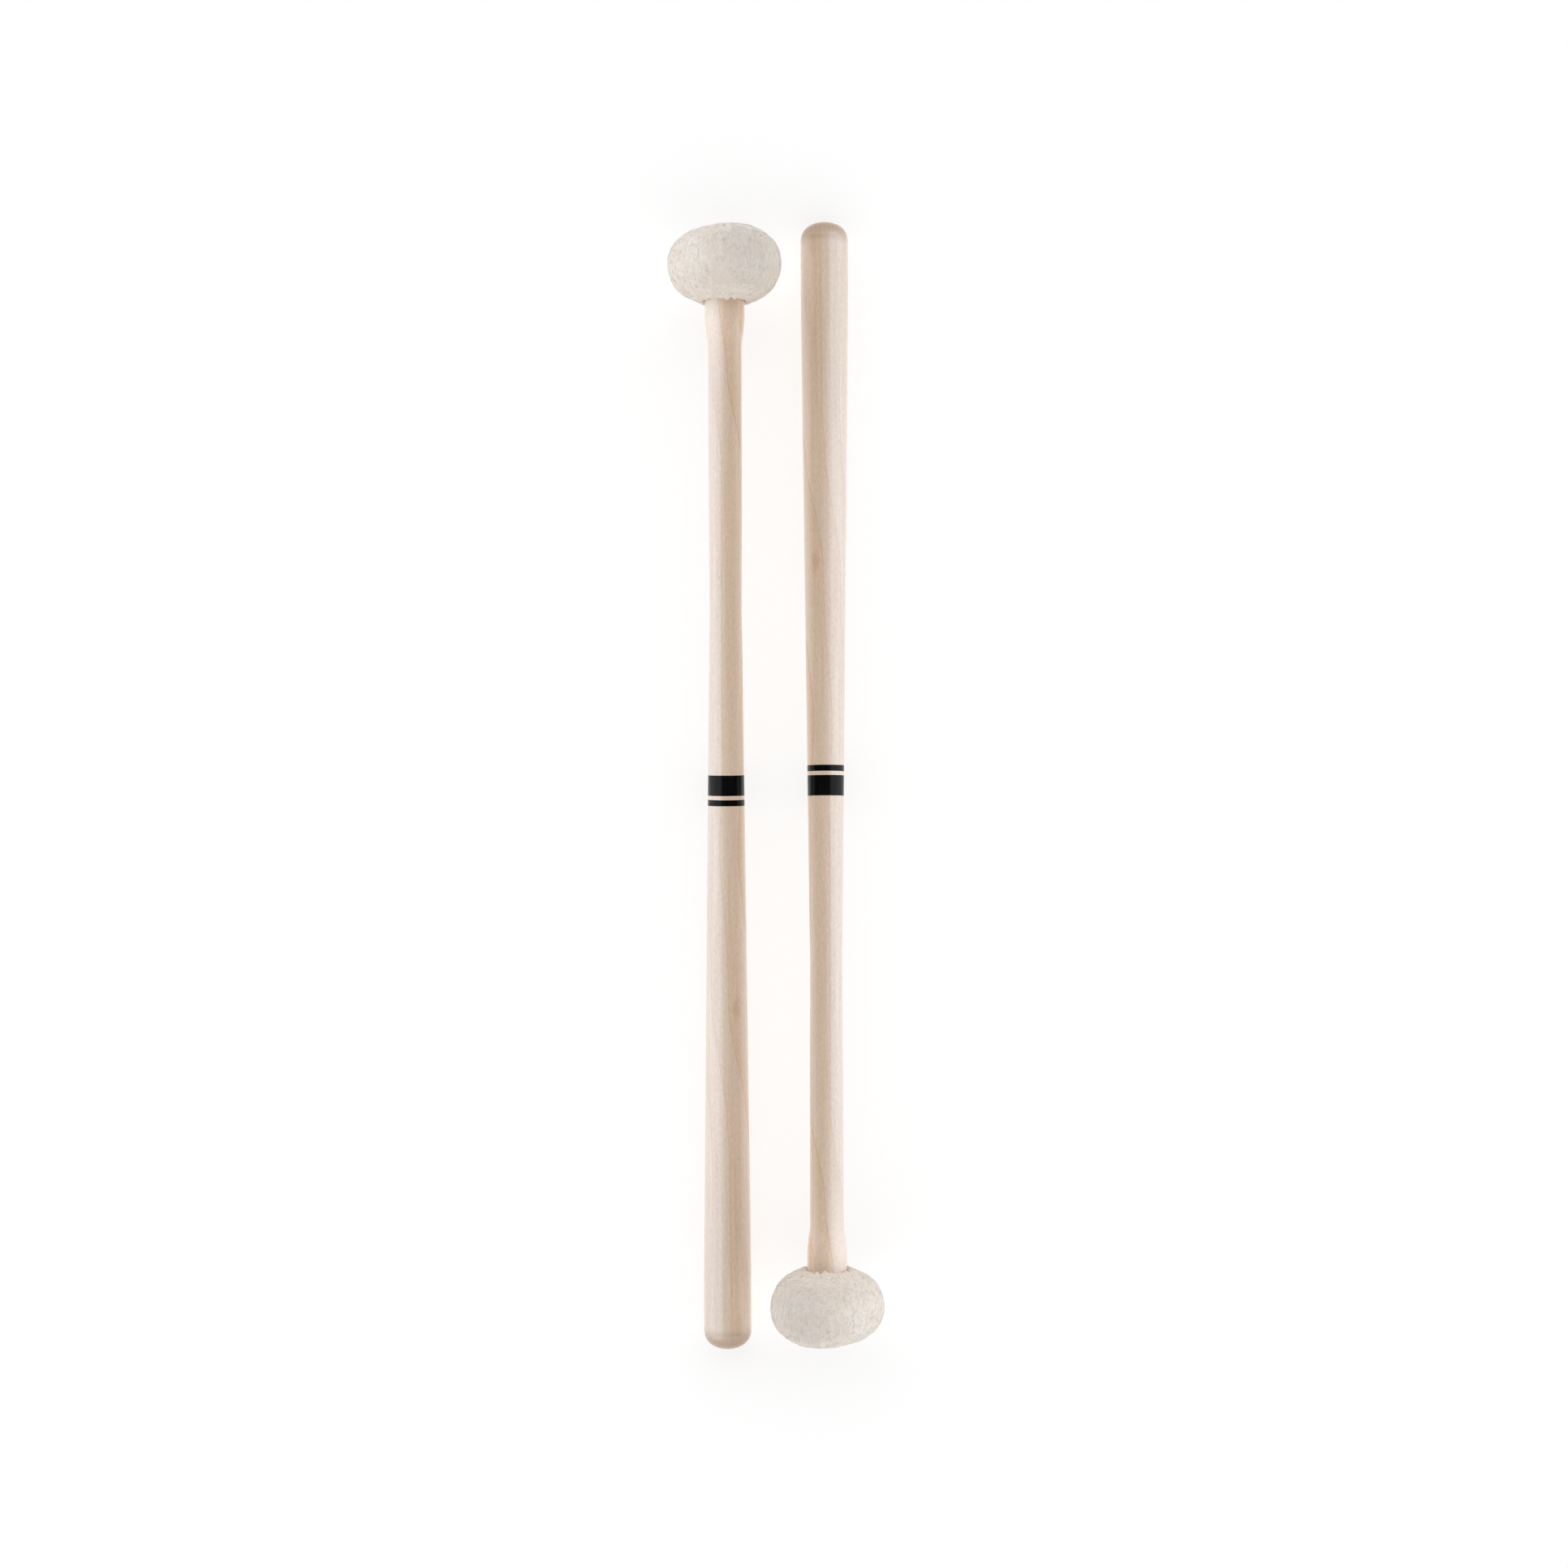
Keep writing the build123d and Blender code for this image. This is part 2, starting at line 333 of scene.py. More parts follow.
def grain_and_neck_light(s, p, along, fibre):
    """A grey to multiply the wood by: streaks, fibres and mottle, the change end to end, and painted
    light that pales the neck where the head's shade falls.
    """
    streak = s.noise(p, 0.9, 3.0, 0.6, stretch=50.0)
    mottle = s.noise(p, 0.55, 3.0, 0.6, stretch=2.5)
    grain = s.sway(streak, 0.26, 1.0)
    grain = s.sway(fibre, 0.38, grain)
    grain = s.sway(mottle, 0.30, grain)
    grain = s.math("MULTIPLY_ADD", s.ramp(along, *BUTT_REACH), -BUTT_DARKER, grain)
    # painted light: paler towards the neck, against the head's shade there
    grain = s.math("MULTIPLY_ADD", s.ramp(along, *NECK_REACH), NECK_PALER, grain)
    return s.node("ShaderNodeCombineColor", Red=grain, Green=grain, Blue=grain).outputs[0]


def mineral_spot(s, p, colour):
    """A small ragged brown spot."""
    away = s.node("ShaderNodeVectorMath", {"operation": "DISTANCE"})
    s.feed(away.inputs[0], s.scaled(p, MINERAL_SQUEEZE))
    away.inputs[1].default_value = [a * b for a, b in zip(MINERAL_SPOT, MINERAL_SQUEEZE)]
    ragged = s.math("MULTIPLY_ADD", s.noise(p, 1.2, 2.0), 2.2, away.outputs["Value"])
    spot = s.less(s.ramp(ragged, 1.2, 3.4))
    return s.mix(s.math("MULTIPLY", spot, 0.50), colour, MINERAL_COLOUR)


def end_grain_and_shade(s, p, along, depth, colour):
    """The butt's dome, where the rings and pores are cut across and the wood is darker: partly the
    end grain's own colour, partly painted shade that tones down the lights' reflection there.
    """
    end = s.less(s.ramp(along, *END_REACH))
    year = s.math("FRACT", s.math("DIVIDE", depth, YEAR_SPACING))
    late = s.math("MULTIPLY", s.ramp(year, 0.45, 0.95), 0.34)
    pores = s.ramp(s.noise(p, 0.30, 1.0, 0.5), 0.60, 0.72)
    cut = s.mix(late, MAPLE_END, MAPLE_PORE)
    cut = s.mix(s.math("MULTIPLY", pores, 0.22), cut, MAPLE_PORE)
    return s.mix(s.math("MULTIPLY", end, 0.85), colour, cut)


def maple(mallet):
    """Turned hard maple under satin lacquer, cut so that the rings run nearly upright."""
    s = Shader(f"maple_{mallet.side}")
    p = s.local(mallet)
    along = s.split(p)[1]
    edge, depth = ring_depth(s, p)
    fibre = s.noise(p, 0.22, 3.0, 0.65, stretch=10.0)
    fleck = s.ramp(s.noise(p, 0.26, 1.0, 0.5, stretch=5.0), 0.66, 0.76)
    colour = s.mix(1.0, ring_colour(s, edge, depth), grain_and_neck_light(s, p, along, fibre), "MULTIPLY")
    colour = s.mix(s.math("MULTIPLY", fleck, 0.34), colour, MAPLE_LINE)
    colour = mineral_spot(s, p, colour)
    colour = end_grain_and_shade(s, p, along, depth, colour)

    # the grain telegraphs faintly through the lacquer
    peel = s.noise(p, 0.5, 2.0, 0.5)
    normal = s.bump(fibre, 0.012)
    normal = s.bump(peel, 0.012, normal)
    normal = s.bump(fleck, -0.010, normal)
    return s.surface(
        Base_Color=colour,
        Roughness=s.math("MULTIPLY_ADD", fibre, 0.18, 0.36),
        Normal=normal,
        Coat_Weight=0.8,
        Coat_Roughness=0.10,
        Coat_IOR=1.55,
        Coat_Normal=s.bump(peel, 0.020),
    )


def black_band(mallet):
    """Satin black foil over the turned wood, whose fibres show faintly through it."""
    s = Shader(f"black_band_{mallet.side}")
    p = s.local(mallet)
    lines = s.noise(p, 0.30, 3.0, 0.6, stretch=30.0)
    dust = s.noise(p, 0.15, 2.0)
    colour = s.mix(s.ramp(lines, 0.35, 0.75), (0.001, 0.001, 0.001), (0.004, 0.004, 0.005))
    rough = s.math("MULTIPLY_ADD", lines, 0.24, 0.10)
    normal = s.bump(lines, 0.010)
    normal = s.bump(dust, 0.004, normal)
    return s.surface(
        Base_Color=colour,
        Roughness=rough,
        Normal=normal,
        Specular_IOR_Level=0.26,
    )


FELT_WARM = (0.750, 0.668, 0.596)
FELT_COOL = (0.748, 0.695, 0.642)
# painted shade for the fleece's grooves and hollows and towards the hem
FELT_SHADE = (0.605, 0.532, 0.462)
FELT_HEM = (13.0, 25.0)     # painted shade: the felt is painted darker towards the hem, between these distances in mm from the crown


def soft_felt(mallet):
    """Fleecy wool felt: tangled short fibres, brushed along the shaft, uneven in colour, with
    painted shade in its grooves and hollows and towards the hem.
    """
    s = Shader(f"soft_felt_{mallet.side}")
    p = s.local(mallet)
    patch = s.noise(p, 6.0, 3.0, 0.55)
    streak = s.noise(p, 1.7, 3.0, 0.55, distortion=0.8, stretch=4.5)
    clump = s.noise(p, 1.0, 4.0, 0.6, distortion=0.8, stretch=1.6)
    curl = s.noise(p, 0.42, 3.0, 0.6, distortion=1.2, stretch=1.5)
    colour = s.mix(s.ramp(patch, 0.38, 0.62), FELT_WARM, FELT_COOL)
    # painted shade in the fleece's streaky grooves, in the hollows between clumps and between curls
    groove = s.less(s.ramp(streak, 0.30, 0.55))
    colour = s.mix(s.math("MULTIPLY", groove, 0.32), colour, FELT_SHADE)
    hollow = s.less(s.ramp(clump, 0.32, 0.52))
    colour = s.mix(s.math("MULTIPLY", hollow, 0.23), colour, FELT_SHADE)
    between = s.less(s.ramp(curl, 0.34, 0.50))
    colour = s.mix(s.math("MULTIPLY", between, 0.18), colour, FELT_SHADE)
    # painted shade, darker towards the hem
    start, end = (mallet.length - below for below in FELT_HEM)
    hem_shade = s.ramp(s.split(p)[1], start, end)
    colour = s.mix(s.math("MULTIPLY", hem_shade, 0.60), colour, FELT_SHADE)
    normal = s.bump(clump, 0.15)
    normal = s.bump(curl, 0.07, normal)
    return s.surface(
        Base_Color=colour,
        Roughness=0.95,
        Normal=normal,
        Specular_IOR_Level=0.15,
        Sheen_Weight=0.2,
        Sheen_Roughness=0.6,
        Sheen_Tint=(0.95, 0.94, 0.92, 1.0),
    )


def fibre(mallet, name, colour):
    """Loose wool fibres, a little duskier in some tufts than in others."""
    s = Shader(name)
    p = s.local(mallet)
    tuft = s.ramp(s.noise(p, 1.5, 2.0, 0.6), 0.35, 0.65)
    return s.surface(
        Base_Color=s.mix(tuft, [0.95 * channel for channel in colour], colour),
        Roughness=0.8,
        Specular_IOR_Level=0.2,
        Sheen_Weight=0.2,
    )


def hard_felt(mallet):
    s = Shader(f"hard_felt_{mallet.side}")
    p = s.local(mallet)
    clump = s.noise(p, 0.8, 4.0, 0.6, distortion=1.0)
    colour = s.mix(s.ramp(clump, 0.3, 0.7), (0.50, 0.45, 0.38), (0.66, 0.62, 0.55))
    return s.surface(Base_Color=colour, Roughness=0.95, Normal=s.bump(clump, 0.1))


def core_wood(mallet):
    s = Shader(f"core_wood_{mallet.side}")
    p = s.local(mallet)
    across = s.split(p)[0]
    wander = s.math("MULTIPLY_ADD", s.noise(p, 6.0, 2.0), 2.5, across)
    year = s.math("FRACT", s.math("DIVIDE", wander, 1.8))
    colour = s.mix(s.ramp(year, 0.1, 0.9), (0.62, 0.46, 0.30), (0.46, 0.32, 0.19))
    fibres = s.noise(p, 0.2, 3.0, 0.6, stretch=15.0)
    return s.surface(Base_Color=colour, Roughness=0.7, Normal=s.bump(fibres, 0.03))


def leather(mallet):
    s = Shader(f"leather_{mallet.side}")
    p = s.local(mallet)
    pebble = s.noise(p, 0.35, 3.0, 0.55)
    colour = s.mix(s.ramp(pebble, 0.3, 0.7), (0.16, 0.085, 0.045), (0.27, 0.15, 0.08))
    return s.surface(Base_Color=colour, Roughness=0.65, Normal=s.bump(pebble, 0.08))


def steel(mallet):
    s = Shader(f"steel_{mallet.side}")
    p = s.local(mallet)
    brush = s.noise(p, 0.08, 2.0, 0.6, stretch=0.2)
    rough = s.math("MULTIPLY_ADD", brush, 0.2, 0.25)
    colour = s.mix(brush, (0.50, 0.50, 0.52), (0.66, 0.66, 0.68))
    return s.surface(Base_Color=colour, Metallic=1.0, Roughness=rough, Normal=s.bump(brush, 0.01))


def thread(mallet):
    s = Shader(f"thread_{mallet.side}")
    p = s.local(mallet)
    twist = s.noise(p, 0.25, 2.0, 0.6, distortion=1.0)
    colour = s.mix(s.ramp(twist, 0.3, 0.7), (0.52, 0.46, 0.36), (0.70, 0.66, 0.56))
    return s.surface(Base_Color=colour, Roughness=0.6, Normal=s.bump(twist, 0.05))


NODE_FINISHES = {
    "shaft": maple,
    "wide_band": black_band,
    "narrow_band": black_band,
    "seat_washer": leather,
    "head_core": core_wood,
    "core_washer": steel,
    "core_screw": steel,
    "felt_liner": hard_felt,
    "gather_thread": thread,
}


def finish_nodes(mallet):
    made = {}
    for piece, finish in NODE_FINISHES.items():
        if finish not in made:
            made[finish] = finish(mallet)
        mesh = frame["nodes"][f"{mallet.side}_{piece}"].data
        mesh.materials.clear()
        mesh.materials.append(made[finish])


# --------------------------------------------------------------- the felt heads
class HeadOutline:
    """The cover's outline from the hem's inner edge round to the crown, by arc length in mm."""

    STEP = 0.05
    SLOPE_REACH = 0.1

    def __init__(self, mallet):
        self.widest = mallet.length - CROWN_HEIGHT
        under = mallet.head_radius - UNDER_RADIUS
        shoulder = mallet.head_radius - SHOULDER_RADIUS
        crown_radius = (shoulder**2 + CROWN_HEIGHT**2 - SHOULDER_RADIUS**2) / (
            2 * (CROWN_HEIGHT - SHOULDER_RADIUS)
        )
        crown = mallet.length - crown_radius
        crown_angle = math.atan2(shoulder, self.widest - crown)
        hem = NECK_RADIUS + HEM_RADIUS
        hem_station = self.widest - math.sqrt((UNDER_RADIUS - HEM_RADIUS) ** 2 - (hem - under) ** 2)
        meet = math.atan2(hem_station - self.widest, hem - under)
        points = [(NECK_RADIUS, hem_station + HEM_TAIL)]
        points += self.arc((hem, hem_station), HEM_RADIUS, math.pi, 2 * math.pi + meet)
        points += self.arc((under, self.widest), UNDER_RADIUS, meet, 0.0)
        points += self.arc(
            (shoulder, self.widest), SHOULDER_RADIUS, 0.0, math.pi / 2 - crown_angle
        )
        points += self.arc((0.0, crown), crown_radius, math.pi / 2 - crown_angle, math.pi / 2)
        line = np.array(points)
        steps = np.hypot(*np.diff(line, axis=0).T)
        keep = np.concatenate(([True], steps > 1e-6))
        self.line = line[keep]
        self.reach = np.concatenate(([0.0], np.cumsum(steps[steps > 1e-6])))
        self.length = self.reach[-1]
        self.rolled = HEM_TAIL + HEM_RADIUS * (math.pi + meet)

    def arc(self, centre, radius, start, end):
        count = max(2, int(abs(end - start) * radius / self.STEP))
        angles = np.linspace(start, end, count)
        return [
            (centre[0] + radius * math.cos(a), centre[1] + radius * math.sin(a)) for a in angles
        ]

    def at(self, reach):
        """Radius, station and outward normal at distances along the outline."""
        radius = np.interp(reach, self.reach, self.line[:, 0])
        station = np.interp(reach, self.reach, self.line[:, 1])
        ahead = np.clip(np.asarray(reach) + self.SLOPE_REACH, 0, self.length)
        behind = np.clip(np.asarray(reach) - self.SLOPE_REACH, 0, self.length)
        widening = self.change(behind, ahead, 0)
        climb = self.change(behind, ahead, 1)
        size = np.hypot(widening, climb)
        return radius, station, climb / size, -widening / size

    def change(self, behind, ahead, column):
        values = self.line[:, column]
        return np.interp(ahead, self.reach, values) - np.interp(behind, self.reach, values)

    def inset(self, reach, thickness):
        """Radius and station that far under the outline."""
        radius, station, out, back = self.at(reach)
        return radius - out * thickness, station - back * thickness


PLEATS = 19
PLEAT_DEPTH = 0.85
PLEAT_REACH = 9.0           # how far the gathers run from the hem, in mm
PLEAT_START = 0.8           # they deepen over this first stretch
PLEAT_FADE = 1.3            # and fade towards their far end by this power
LUMPS = ((7.0, 0.26), (2.8, 0.15), (1.2, 0.07))     # size and height in mm
LUMPS_START = (2.0, 10.0)   # the lumps grow in between these reaches from the hem's inner edge
ASKEW = 0.050               # the crown's slant across the head
ASKEW_START = (16.0, 28.0)  # and the slant between these
HEM_TUCK = 0.55             # how far the gathers pull the hem's roll back towards the crown
HEM_TUCK_AT = (7.5, 3.5)    # the middle of that pull, and how far it spreads
WISPS_AT = (2.9, 0.8)       # the middle of the wisps' root along the outline, and its spread
# Points of felt that hang over the shaft at the hem: angle round it, width and length in mm
WISPS = (
    (1.45, 2.4, 0.9),
    (1.74, 1.6, 0.5),
    (1.12, 1.6, 0.5),
    (2.45, 1.5, 0.5),
    (0.30, 1.4, 0.6),
    (3.50, 1.8, 0.8),
    (4.55, 2.2, 1.1),
    (5.45, 1.4, 0.6),
)
# Where the head is pressed in: angle round the shaft, reach from the crown's middle, size, depth
DENTS = ((0.10, 17.0, 7.0, 0.75), (3.00, 10.5, 6.0, 0.45), (0.00, 33.0, 5.0, 0.35))


def rising(value, low, high):
    """0 at or under low, 1 at or over high, straight between."""
    return np.clip((value - low) / (high - low), 0, 1)


def hill(value, middle, spread):
    """A smooth bump, 1 at the middle."""
    return np.exp(-(((value - middle) / spread) ** 2))


def apart_round(angles, middle):
    """How far angles are from a middle one, the shorter way round."""
    return np.abs((angles - middle + math.pi) % (2 * math.pi) - math.pi)


class FeltShape:
    """Where the cover's surface is, at an angle round the shaft and a reach along its outline."""

    def __init__(self, outline, seed):
        self.outline = outline
        random = np.random.default_rng(seed)
        spread = (np.arange(PLEATS) + random.uniform(-0.32, 0.32, PLEATS)) / PLEATS
        self.pleats = spread * 2 * math.pi
        self.pleat_depths = PLEAT_DEPTH * random.uniform(0.3, 1.0, PLEATS)
        self.pleat_widths = random.uniform(0.045, 0.09, PLEATS)
        self.pleat_reaches = PLEAT_REACH * random.uniform(0.5, 1.2, PLEATS)
        self.offset = Vector(random.uniform(-50, 50, 3))

    def points(self, angles, reaches, lifts=0.0):
        """Points in the mallet's axes, in mm, `lifts` above the felt. Arrays of one shape."""
        reaches = np.clip(reaches, 0.0, self.outline.length)
        radius, station, out, back = self.outline.at(reaches)
        cos, sin = np.cos(angles), np.sin(angles)
        base = np.stack((radius * cos, station, radius * sin), axis=-1)
        normal = np.stack((out * cos, back, out * sin), axis=-1)
        lift = self.lumps(base) * rising(reaches, *LUMPS_START) - self.gathers(angles, reaches)
        lift = lift - self.dents(base) + lifts
        made = base + normal * lift[..., None]
        made[..., 1] += ASKEW * made[..., 0] * rising(reaches, *ASKEW_START)
        made[..., 1] += HEM_TUCK * hill(reaches, *HEM_TUCK_AT)
        made[..., 1] -= self.wisps(angles) * hill(reaches, *WISPS_AT)
        return made

    def lumps(self, base):
        flat = base.reshape(-1, 3)
        lift = np.zeros(len(flat))
        for size, height in LUMPS:
            for i, q in enumerate(flat):
                lift[i] += height * noise.noise(Vector(q) / size + self.offset)
        return lift.reshape(base.shape[:-1])

    def dents(self, base):
        depth = 0.0
        for angle, inward, size, deep in DENTS:
            radius, station, _, _ = self.outline.at(self.outline.length - inward)
            middle = (radius * math.cos(angle), station, radius * math.sin(angle))
            apart = np.linalg.norm(base - np.array(middle), axis=-1)
            depth = depth + deep * hill(apart, 0.0, size)
        return depth

    def wisps(self, angles):
        longest = np.zeros_like(angles)
        for middle, width, length in WISPS:
            across = apart_round(angles, middle) * NECK_RADIUS / (width / 2)
            longest = np.maximum(longest, length * np.clip(1 - across, 0, 1))
        return longest

    def gathers(self, angles, reaches):
        depth = np.zeros_like(angles)
        for middle, deep, width, far in zip(
            self.pleats, self.pleat_depths, self.pleat_widths, self.pleat_reaches
        ):
            fade = np.clip(1 - reaches / far, 0, 1) ** PLEAT_FADE * rising(reaches, 0.0, PLEAT_START)
            groove = hill(apart_round(angles, middle), 0.0, width)
            depth = np.maximum(depth, deep * groove * fade)
        return depth


AROUND = 360
ALONG = 190
INNER_ROWS = 14
FELT_THICKNESS = 3.8
INNER_CROWN_GAP = 0.8       # the inside's first ring is this far along from the crown's middle
INNER_HEM_GAP = 0.2         # and its last ring this far short of the hem's roll
FLOOR_CLEARANCE = 0.03      # felt that meets the floor is pressed flat this far above it
COVER_SEED = 11


def shell_faces(rows, around):
    """Faces of rings closed at both ends by a pole. The poles follow the rings' points."""
    faces = []
    for row in range(rows - 1):
        low, high = row * around, (row + 1) * around
        for column in range(around):
            after = (column + 1) % around
            faces.append((low + column, high + column, high + after, low + after))
    last, start_pole = (rows - 1) * around, rows * around
    for column in range(around):
        after = (column + 1) % around
        faces.append((start_pole, column, after))
        faces.append((last + column, start_pole + 1, last + after))
    return faces


def new_piece(mallet, name, points, faces, material):
    """A smooth piece on this mallet's body, from points in the mallet's axes in mm."""
    placed = mallet.place(points)
    placed[:, 2] = np.maximum(placed[:, 2], FLOOR_CLEARANCE * MM)
    mesh = bpy.data.meshes.new(name)
    mesh.from_pydata(placed.tolist(), [], faces)
    mesh.polygons.foreach_set("use_smooth", [True] * len(mesh.polygons))
    mesh.materials.append(material)
    piece = bpy.data.objects.new(name, mesh)
    bpy.context.scene.collection.objects.link(piece)
    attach(piece, mallet.body)
    return piece


def felt_cover(mallet, shape):
    """The cover's thick felt: its inside from the crown to the hem, then its fleecy outside."""
    outline = shape.outline
    angles = np.linspace(0.0, 2 * math.pi, AROUND + 1)[:-1]
    first, last = outline.length - INNER_CROWN_GAP, outline.rolled + INNER_HEM_GAP
    inside = np.linspace(first, last, INNER_ROWS)
    inside_radius, inside_station = outline.inset(inside, FELT_THICKNESS)
    inner = np.stack(
        (
            inside_radius[:, None] * np.cos(angles),
            inside_station[:, None] + np.zeros(AROUND),
            inside_radius[:, None] * np.sin(angles),
        ),
        axis=-1,
    )
    outside = np.linspace(0.0, outline.length, ALONG + 1)[:-1]
    outer = shape.points(*np.meshgrid(angles, outside))
    inner_pole = (0.0, mallet.length - FELT_THICKNESS, 0.0)
    outer_pole = shape.points(np.array([0.0]), np.array([outline.length]))[0]
    points = np.concatenate(
        (inner.reshape(-1, 3), outer.reshape(-1, 3), [inner_pole], [outer_pole])
    )
    name = f"{mallet.side}_soft_felt_cover"
    faces = shell_faces(INNER_ROWS + ALONG, AROUND)
    piece = new_piece(mallet, name, points, faces, soft_felt(mallet))
    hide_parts(f"{mallet.side}_felt_cover")


FUZZ_PALE = (0.78, 0.74, 0.69)
FUZZ_DUSKY = (0.72, 0.665, 0.60)
FUZZ_COUNT = 4800           # fibres of each tint on each head
FUZZ_LENGTH = (0.8, 2.1)    # and their sizes, in mm
FUZZ_RADIUS = (0.014, 0.028)
FUZZ_CURL = (0.05, 0.32)
FUZZ_LIFT = 0.32            # the highest that a fibre's middle stands above its ends
FUZZ_SINK = 0.05            # how deep the ends are in the felt
FUZZ_RISE = 0.06            # how far the middle of a fibre stands off the felt, on average
FUZZ_TURN = 0.75            # the spread of the fibres' turn from the shaft's direction, in radians
FUZZ_POINTS = 6
FUZZ_SEED = 5


def fibre_mesh(paths, radii, outward):
    """Closed three-sided tubes with pointed ends along paths of shape (fibres, points, 3)."""
    count, steps, _ = paths.shape
    middle = paths[:, 1:-1]
    tangent = paths[:, 2:] - paths[:, :-2]
    side = np.cross(tangent, outward[:, None, :])
    side /= np.linalg.norm(side, axis=-1, keepdims=True) + 1e-9
    lift = np.cross(side, tangent)
    lift /= np.linalg.norm(lift, axis=-1, keepdims=True) + 1e-9
    turns = 2 * math.pi * np.arange(3) / 3
    cos, sin = np.cos(turns)[:, None], np.sin(turns)[:, None]
    spokes = side[:, :, None, :] * cos + lift[:, :, None, :] * sin
    rings = middle[:, :, None, :] + radii[:, None, None, None] * spokes
    points = np.concatenate(
        (paths[:, :1], rings.reshape(count, -1, 3), paths[:, -1:]), axis=1
    )
    size = points.shape[1]
    pattern = []
    for i in range(3):
        j = (i + 1) % 3
        pattern.append((0, 1 + i, 1 + j))
        for ring in range(steps - 3):
            a, b = 1 + 3 * ring, 4 + 3 * ring
            pattern.append((a + i, b + j, a + j))
            pattern.append((a + i, b + i, b + j))
        last = 1 + 3 * (steps - 3)
        pattern.append((last + i, size - 1, last + j))
    faces = np.array(pattern)[None] + (size * np.arange(count))[:, None, None]
    return points.reshape(-1, 3), faces.reshape(-1, 3)


def fuzz_paths(shape, count, random):
    """Short curly fibres that lie on the felt and stand a little off it."""
    # many more places than are needed, thinned so that the fibres are as dense on every part
    reach = random.uniform(0.3, shape.outline.length, count * 4)
    radius, _, _, _ = shape.outline.at(reach)
    chosen = random.uniform(0, radius.max(), len(reach)) < radius
    reach = reach[chosen][:count]
    radius = radius[chosen][:count]
    count = len(reach)
    angle = random.uniform(0, 2 * math.pi, count)
    length = random.uniform(*FUZZ_LENGTH, count)
    heading = random.normal(0.0, FUZZ_TURN, count) + math.pi * random.integers(0, 2, count)
    curl = random.uniform(*FUZZ_CURL, count)
    start = random.uniform(0, 2 * math.pi, count)
    height = FUZZ_SINK + random.exponential(FUZZ_RISE, count)
    t = np.linspace(0, 1, FUZZ_POINTS)[None]
    forward = length[:, None] * (t - 0.5)
    sideways = curl[:, None] * np.sin(2 * math.pi * t + start[:, None])
    cos, sin = np.cos(heading)[:, None], np.sin(heading)[:, None]
    reaches = reach[:, None] + forward * cos - sideways * sin
    turned = (forward * sin + sideways * cos) / np.maximum(radius, 2.0)[:, None]
    lifts = np.minimum(height, FUZZ_LIFT)[:, None] * np.sin(math.pi * t) - FUZZ_SINK
    paths = shape.points(angle[:, None] + turned, reaches, lifts)
    return paths, random.uniform(*FUZZ_RADIUS, count)


def head_fuzz(mallet, shape):
    random = np.random.default_rng(FUZZ_SEED)
    for tint, colour in (("pale", FUZZ_PALE), ("dusky", FUZZ_DUSKY)):
        paths, radii = fuzz_paths(shape, FUZZ_COUNT, random)
        outward = paths.mean(axis=1) * (1, 0, 1)    # straight out from the mallet's axis
        points, faces = fibre_mesh(paths, radii, outward)
        name = f"{mallet.side}_head_fuzz_{tint}"
        new_piece(mallet, name, points, faces.tolist(), fibre(mallet, name, colour))


# ------------------------------------------------------------ camera and lights
def camera():
    data = bpy.data.cameras.new("camera")
    data.sensor_width = SENSOR
    data.lens = SENSOR * FOCAL_PIXELS / IMAGE_WIDTH
    made = bpy.data.objects.new("camera", data)
    made.location = (*CAMERA_AIM, CAMERA_HEIGHT)
    made.rotation_euler = (0.0, 0.0, math.radians(CAMERA_ROLL))
    bpy.context.scene.collection.objects.link(made)
    bpy.context.scene.camera = made


ENERGY_PER_AREA = 4.0       # an area light's watts per square metre at a radiance of 1


def softbox(name, tilt, target, distance, size, radiance, colour, receivers):
    """A soft rectangle along y, `tilt` degrees from straight above the target towards +x."""
    data = bpy.data.lights.new(name, "AREA")
    data.shape = "RECTANGLE"
    data.size, data.size_y = size
    data.energy = radiance * ENERGY_PER_AREA * size[0] * size[1]
    data.color = colour
    made = bpy.data.objects.new(name, data)
    turn = math.radians(tilt)
    made.location = Vector(target) + distance * Vector((math.sin(turn), 0.0, math.cos(turn)))
    made.rotation_euler = (0.0, turn, 0.0)
    made.visible_camera = False
    bpy.context.scene.collection.objects.link(made)
    made.light_linking.receiver_collection = receivers
    made.light_linking.blocker_collection = receivers


FLOOR_SIZE = 40.0
FLOOR_COLOUR = (0.42, 0.42, 0.42)
FLOOR_GLOW = 0.675


def floor():
    half = FLOOR_SIZE / 2
    mesh = bpy.data.meshes.new("floor")
    mesh.from_pydata(
        [(-half, -half, 0), (half, -half, 0), (half, half, 0), (-half, half, 0)],
        [],
        [(0, 1, 2, 3)],
    )
    s = Shader("floor_paper")
    s.surface(
        Base_Color=(*FLOOR_COLOUR, 1.0),
        Roughness=0.9,
        Specular_IOR_Level=0.1,
        Emission_Color=(1.0, 1.0, 1.0, 1.0),
        Emission_Strength=FLOOR_GLOW,
    )
    mesh.materials.append(s.material)
    made = bpy.data.objects.new("floor", mesh)
    bpy.context.scene.collection.objects.link(made)
    made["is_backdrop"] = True


END_GLOW = 1.55             # the room's light from beyond the mallets' ends
OVERHEAD_GLOW = 0.04        # and from straight above them, where the camera hangs
END_SPAN = (0.30, 0.50)     # the change from overhead to ends, in the direction's own y
HORIZON_GLOW = 1.0
HORIZON_SPAN = (0.22, 0.08)     # and from there down to the horizon, in its z
WALL_GLOW = 1.0             # the plain white wall that low views see behind the mallets


